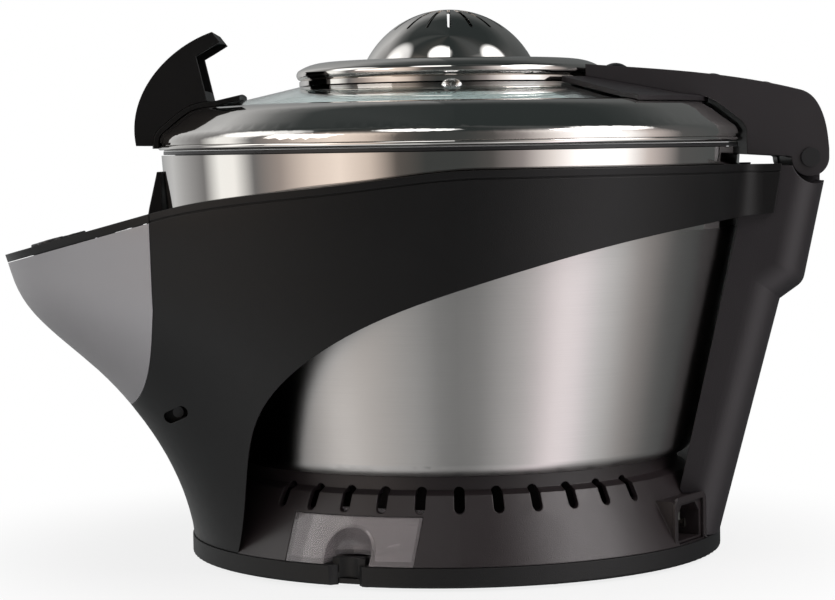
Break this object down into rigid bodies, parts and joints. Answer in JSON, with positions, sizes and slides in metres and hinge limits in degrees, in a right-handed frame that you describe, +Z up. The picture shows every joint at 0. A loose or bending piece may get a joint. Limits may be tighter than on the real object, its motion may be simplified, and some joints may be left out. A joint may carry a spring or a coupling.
{
  "type": "multicooker",
  "caption": "Countertop multicooker: round steel pot in a swept black housing, hinged glass lid with vent dome and handle, key panel, drip cup and mains inlet.",
  "frame": {"origin": "on the floor plane under the middle of the whole cooker; the pot's axis is the vertical line x = 0, y = +0.0189", "axes": "+Z up, the control panel and lid handle at -Y, the hinge column at +Y, the drip cup and the mains inlet on the +X side"},
  "size_m": [0.302, 0.4062, 0.2686],
  "materials": {
    "black_housing": "satin black moulding",
    "black_base": "satin black moulding",
    "black_arm": "semi-gloss black moulding",
    "silver_shell": "fine silver paint",
    "panel_overlay": "gloss black overlay",
    "display_window": "dark window",
    "button": "dark gloss keys",
    "board": "green board",
    "brushed_shell": "brushed round the pot",
    "polished_steel": "polished",
    "pot_coating": "dark non-stick coating",
    "plain_steel": "plain sheet",
    "screw_steel": "turned heads",
    "spring_steel": "drawn wire",
    "inlet_pin": "bright plated",
    "cast_aluminium": "cast and turned",
    "clear_cup": "clear moulding",
    "clear_stop": "clear button",
    "lid_glass": "tempered, clear",
    "foot_rubber": "matt",
    "gasket_silicone": "translucent grey silicone"
  },
  "bodies": {
    "cooker": {"wing_right": "black_housing", "wing_left": "black_housing", "wing_screws": "screw_steel", "front_shell": "silver_shell", "panel_frame": "black_housing", "control_panel": "panel_overlay", "display_window": "display_window", "control_board": "board", "pot_shell": "brushed_shell", "cooking_pot": "pot_coating", "base_skirt": "black_base", "base_ring": "black_base", "bottom_plate": "black_base", "feet": "foot_rubber", "base_screws": "screw_steel", "cup_tray": "black_base", "inlet_socket": "black_base", "inlet_pins": "inlet_pin", "heat_shield": "plain_steel", "heater_plate": "cast_aluminium", "heating_element": "plain_steel", "sensor_spring": "spring_steel", "power_board": "board", "rear_column": "black_housing", "column_bracket": "plain_steel"},
    "lid": {"lid_arm": "black_arm", "arm_studs": "screw_steel", "lid_bracket": "black_arm", "lid_rim": "polished_steel", "lid_glass": "lid_glass", "lid_gasket": "gasket_silicone", "top_ring": "polished_steel", "hub_nut": "black_arm", "steam_baffle": "plain_steel", "vent_dome": "polished_steel", "glass_rivets": "clear_stop", "lid_handle": "black_arm", "handle_saddle": "black_arm", "hinge_pin": "spring_steel", "pin_caps": "screw_steel"},
    "cup": {"drip_cup": "clear_cup"},
    "sensor": {"sensor_plunger": "cast_aluminium"},
    "key_minus": {"button_minus": "button"},
    "key_menu": {"button_menu": "button"},
    "key_start": {"button_start": "button"},
    "key_stop": {"button_stop": "button"},
    "key_plus": {"button_plus": "button"}
  },
  "joints": [
    {"name": "lid_hinge", "type": "hinge", "parent": "cooker", "child": "lid", "pos_m": [0, 0.1937, 0.1927], "axis": [-1, 0, 0], "range_deg": [0, 95]},
    {"name": "cup_slide", "type": "slide", "parent": "cooker", "child": "cup", "axis": [0.9171, -0.3987, 0], "range_m": [0, 0.045]},
    {"name": "sensor_slide", "type": "slide", "parent": "cooker", "child": "sensor", "axis": [0, 0, -1], "range_m": [0, 0.0025], "stiffness_N_per_m": 400, "springref_m": -0.004, "deforming": ["sensor_spring"]},
    {"name": "minus_press", "type": "slide", "parent": "cooker", "child": "key_minus", "axis": [0, 0.2534, -0.9674], "range_m": [0, 0.001], "stiffness_N_per_m": 400, "springref_m": -0.001},
    {"name": "menu_press", "type": "slide", "parent": "cooker", "child": "key_menu", "axis": [0, 0.2534, -0.9674], "range_m": [0, 0.001], "stiffness_N_per_m": 400, "springref_m": -0.001},
    {"name": "start_press", "type": "slide", "parent": "cooker", "child": "key_start", "axis": [0, 0.2534, -0.9674], "range_m": [0, 0.001], "stiffness_N_per_m": 400, "springref_m": -0.001},
    {"name": "stop_press", "type": "slide", "parent": "cooker", "child": "key_stop", "axis": [0, 0.2534, -0.9674], "range_m": [0, 0.001], "stiffness_N_per_m": 400, "springref_m": -0.001},
    {"name": "plus_press", "type": "slide", "parent": "cooker", "child": "key_plus", "axis": [0, 0.2534, -0.9674], "range_m": [0, 0.001], "stiffness_N_per_m": 400, "springref_m": -0.001}
  ]
}
